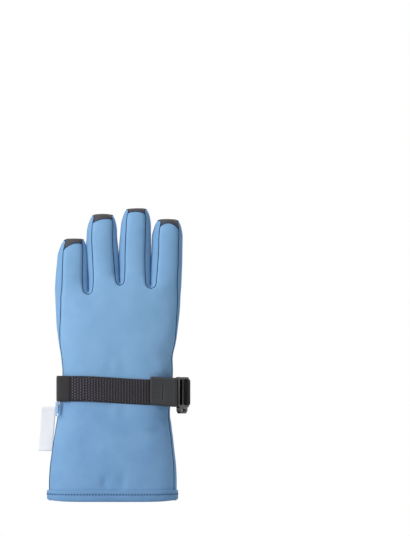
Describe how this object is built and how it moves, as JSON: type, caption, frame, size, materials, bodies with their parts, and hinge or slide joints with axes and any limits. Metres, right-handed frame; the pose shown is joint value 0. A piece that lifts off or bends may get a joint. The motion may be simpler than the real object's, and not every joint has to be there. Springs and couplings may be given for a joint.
{
  "type": "ski glove",
  "caption": "Insulated ski glove for the left hand with a flared gauntlet, wrist strap, ladder-lock buckle and pull tab, standing on its hem.",
  "frame": {"origin": "on the supporting surface, under the middle of the glove's box", "axes": "+Z along the fingers, -Y out of the back of the hand, +X towards the index finger side"},
  "size_m": [0.149, 0.0799, 0.2935],
  "materials": {
    "softshell": "matte woven soft-shell",
    "softshell_side": "matte woven soft-shell",
    "palm_leather": "matte synthetic leather",
    "grip_leather": "embossed synthetic leather",
    "insulation": "lofted fill",
    "lining": "brushed fleece",
    "black_fabric": "matte",
    "elastic": "ribbed elastic",
    "webbing": "ribbed webbing",
    "buckle_plastic": "glossy moulded",
    "tab_rubber": "satin moulded",
    "label_satin": "satin",
    "loop_webbing": "narrow webbing"
  },
  "bodies": {
    "hand": {"back_of_hand": "softshell", "palm_panel": "palm_leather", "side_panel_little": "softshell_side", "side_panel_index": "softshell_side", "web_little_ring": "softshell_side", "web_ring_middle": "softshell_side", "web_middle_index": "softshell_side", "palm_patch": "grip_leather", "thumb_gusset": "palm_leather", "hand_insulation": "insulation", "hand_lining": "lining", "gauntlet_back": "softshell", "gauntlet_palm": "palm_leather", "gauntlet_side_little": "softshell_side", "gauntlet_side_index": "black_fabric", "gauntlet_insulation": "insulation", "gauntlet_lining": "lining", "hem_binding": "softshell", "wrist_elastic": "elastic", "wrist_strap": "webbing", "strap_keeper": "black_fabric", "anchor_loop": "webbing"},
    "buckle": {"buckle_frame": "buckle_plastic", "pairing_hook": "buckle_plastic", "strap_bight": "webbing"},
    "strap_end": {"strap_tail": "webbing", "pull_tab": "tab_rubber"},
    "label": {"care_label": "label_satin"},
    "pairing_loop": {"pairing_loop": "loop_webbing", "pairing_clip": "buckle_plastic"},
    "little_finger": {"little_back": "softshell", "little_palm": "palm_leather", "little_sides": "softshell_side", "little_cap": "palm_leather", "little_insulation": "insulation", "little_lining": "lining"},
    "ring_finger": {"ring_back": "softshell", "ring_palm": "palm_leather", "ring_sides": "softshell_side", "ring_cap": "palm_leather", "ring_insulation": "insulation", "ring_lining": "lining"},
    "middle_finger": {"middle_back": "softshell", "middle_palm": "palm_leather", "middle_sides": "softshell_side", "middle_cap": "palm_leather", "middle_insulation": "insulation", "middle_lining": "lining"},
    "index_finger": {"index_back": "softshell", "index_palm": "palm_leather", "index_sides": "softshell_side", "index_cap": "palm_leather", "index_insulation": "insulation", "index_lining": "lining"},
    "thumb": {"thumb_back": "softshell", "thumb_palm": "palm_leather", "thumb_cap": "palm_leather", "thumb_insulation": "insulation", "thumb_lining": "lining"}
  },
  "joints": [
    {"name": "little_bend", "type": "hinge", "parent": "hand", "child": "little_finger", "pos_m": [-0.04249, 0.0006, 0.21], "axis": [-1, 0, 0], "range_deg": [0, 80]},
    {"name": "ring_bend", "type": "hinge", "parent": "hand", "child": "ring_finger", "pos_m": [-0.01139, 0.0011, 0.219], "axis": [-1, 0, 0], "range_deg": [0, 80]},
    {"name": "middle_bend", "type": "hinge", "parent": "hand", "child": "middle_finger", "pos_m": [0.01921, 0.0011, 0.219], "axis": [-1, 0, 0], "range_deg": [0, 80]},
    {"name": "index_bend", "type": "hinge", "parent": "hand", "child": "index_finger", "pos_m": [0.05041, 0.0011, 0.216], "axis": [-1, 0, 0], "range_deg": [0, 80]},
    {"name": "thumb_spread", "type": "hinge", "parent": "hand", "child": "thumb", "pos_m": [0.02961, 0.0121, 0.158], "axis": [0, 1, 0], "range_deg": [0, 50]},
    {"name": "buckle_tilt", "type": "hinge", "parent": "hand", "child": "buckle", "pos_m": [0.07085, -0.01309, 0.10975], "axis": [0, 0, 1], "range_deg": [0, 35]},
    {"name": "strap_end_lift", "type": "hinge", "parent": "buckle", "child": "strap_end", "pos_m": [0.06251, -0.032, 0.10975], "axis": [0, 0, 1], "range_deg": [0, 120]},
    {"name": "label_flap", "type": "hinge", "parent": "hand", "child": "label", "pos_m": [-0.06086, -0.0119, 0.073], "axis": [0.083, 0, 0.9965], "range_deg": [-60, 60]},
    {"name": "pairing_loop_swing", "type": "hinge", "parent": "hand", "child": "pairing_loop", "pos_m": [-0.0577, -0.02305, 0.1002], "axis": [-0.5, 0.866, 0], "range_deg": [0, 80]}
  ]
}
